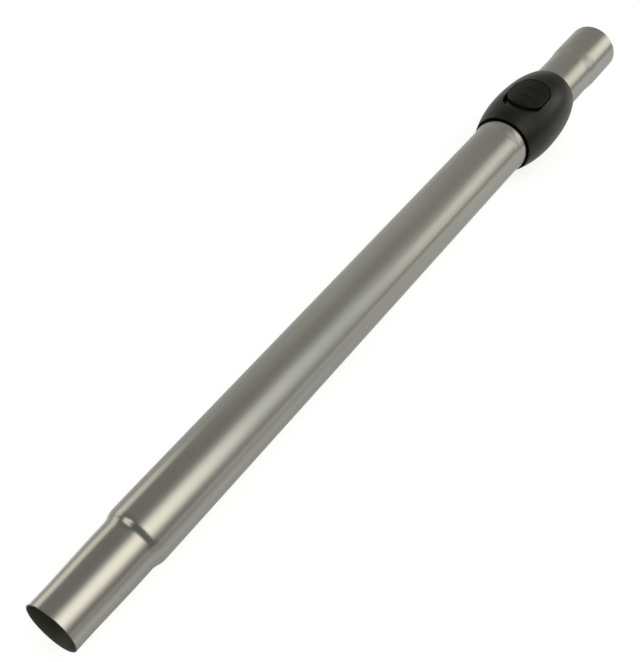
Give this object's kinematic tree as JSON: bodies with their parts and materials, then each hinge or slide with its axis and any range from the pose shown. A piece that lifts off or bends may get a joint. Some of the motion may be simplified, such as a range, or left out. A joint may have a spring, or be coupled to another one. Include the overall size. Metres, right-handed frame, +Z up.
{
  "type": "telescopic vacuum cleaner wand",
  "caption": "Telescopic suction wand: satin steel tubes, a black barrel collar with a sprung slide button that lifts the length lock, a floor-tool spigot and a handle socket.",
  "frame": {"origin": "on the ground under the middle of the wand, pushed together and lying at rest", "axes": "+X along the wand towards the handle's socket (the wand rises by about one degree that way), +Z up through the slide button, +Y to the left looking along +X"},
  "size_m": [0.5934, 0.0524, 0.052],
  "materials": {
    "outer_tube_steel": "satin chrome plated",
    "inner_tube_steel": "satin chrome plated",
    "collar_plastic": "satin black moulding",
    "button_plastic": "satin black moulding",
    "sleeve_plastic": "natural bearing plastic",
    "housing_plastic": "dark moulding",
    "guide_plastic": "natural bearing plastic",
    "lock_steel": "bright hardened steel",
    "spring_steel": "drawn wire",
    "felt": "pressed felt",
    "seal_rubber": "soft"
  },
  "bodies": {
    "outer": {"outer_tube": "outer_tube_steel", "guide_sleeve": "sleeve_plastic", "collar_shell": "collar_plastic", "wiper_ring": "felt", "lock_housing": "housing_plastic", "return_spring": "spring_steel"},
    "inner": {"inner_tube": "inner_tube_steel", "end_guide_left": "guide_plastic", "end_guide_right": "guide_plastic", "end_seal": "seal_rubber"},
    "button": {"release_button": "button_plastic"},
    "lock": {"lock_dog": "lock_steel", "lock_cross_pin": "lock_steel"}
  },
  "joints": [
    {"name": "telescope", "type": "slide", "parent": "outer", "child": "inner", "axis": [0.9999, 0, 0.0167], "range_m": [0, 0.36]},
    {"name": "button_slide", "type": "slide", "parent": "outer", "child": "button", "axis": [-0.9999, 0, -0.0167], "range_m": [0, 0.005], "stiffness_N_per_m": 1000, "springref_m": -0.004, "deforming": ["return_spring"]},
    {"name": "lock_lift", "type": "slide", "parent": "outer", "child": "lock", "axis": [-0.0167, 0, 0.9999], "range_m": [0, 0.00151]}
  ],
  "couplings": [
    {"joint": "lock_lift", "follows": "button_slide", "ratio": 0.3}
  ]
}
